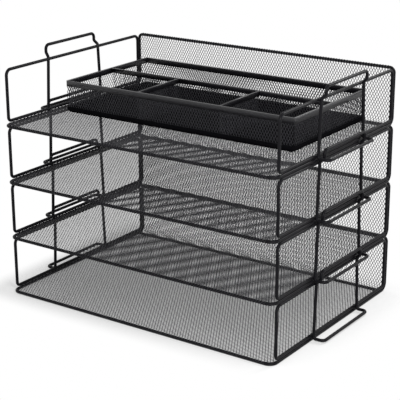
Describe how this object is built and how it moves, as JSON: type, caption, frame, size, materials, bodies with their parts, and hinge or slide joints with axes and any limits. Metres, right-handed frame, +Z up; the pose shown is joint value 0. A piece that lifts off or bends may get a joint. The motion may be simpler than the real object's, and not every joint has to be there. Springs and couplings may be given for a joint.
{
  "type": "tiered mesh paper tray",
  "caption": "Stack of open-fronted letter trays in black wire and mesh that hook onto each other at the sides, with a low divided mesh caddy lying in the top tray.",
  "frame": {"origin": "on the desk, under the middle of the stack's overall box", "axes": "+X to the right seen from the open front, +Y from the front to the back, +Z up"},
  "size_m": [0.3522, 0.229, 0.2523],
  "materials": {
    "wire": "black satin powder coat on steel wire",
    "mesh": "black satin powder coat on steel mesh",
    "strip": "black satin powder coat on folded steel strip and sheet"
  },
  "bodies": {
    "bottom_tray": {"bottom_tray_frame": "wire", "bottom_tray_cross_wire": "wire", "bottom_tray_floor_mesh": "mesh", "bottom_tray_back_mesh": "mesh", "bottom_tray_left_loop": "wire", "bottom_tray_right_loop": "wire", "bottom_tray_left_bracket": "wire", "bottom_tray_right_bracket": "wire"},
    "second_tray": {"second_tray_frame": "wire", "second_tray_cross_wire": "wire", "second_tray_floor_mesh": "mesh", "second_tray_back_mesh": "mesh", "second_tray_left_loop": "wire", "second_tray_right_loop": "wire", "second_tray_left_bracket": "wire", "second_tray_right_bracket": "wire"},
    "third_tray": {"third_tray_frame": "wire", "third_tray_cross_wire": "wire", "third_tray_floor_mesh": "mesh", "third_tray_back_mesh": "mesh", "third_tray_left_loop": "wire", "third_tray_right_loop": "wire", "third_tray_left_bracket": "wire", "third_tray_right_bracket": "wire"},
    "top_tray": {"top_tray_frame": "wire", "top_tray_cross_wire": "wire", "top_tray_floor_mesh": "mesh", "top_tray_back_mesh": "mesh", "top_tray_left_loop": "wire", "top_tray_right_loop": "wire", "top_tray_left_bracket": "wire", "top_tray_right_bracket": "wire"},
    "caddy": {"caddy_base_pan": "strip", "caddy_front_wall": "mesh", "caddy_rear_wall": "mesh", "caddy_left_wall": "mesh", "caddy_right_wall": "mesh", "caddy_rim": "strip", "caddy_long_divider": "mesh", "caddy_long_cap": "strip", "caddy_left_divider": "mesh", "caddy_left_cap": "strip", "caddy_right_divider": "mesh", "caddy_right_cap": "strip"}
  },
  "joints": [
    {"name": "second_tray_lift", "type": "slide", "parent": "bottom_tray", "child": "second_tray", "axis": [0, 0, 1], "range_m": [0, 0.05]},
    {"name": "third_tray_lift", "type": "slide", "parent": "second_tray", "child": "third_tray", "axis": [0, 0, 1], "range_m": [0, 0.05]},
    {"name": "top_tray_lift", "type": "slide", "parent": "third_tray", "child": "top_tray", "axis": [0, 0, 1], "range_m": [0, 0.05]},
    {"name": "caddy_lift", "type": "slide", "parent": "top_tray", "child": "caddy", "axis": [0, 0, 1], "range_m": [0, 0.08]}
  ]
}
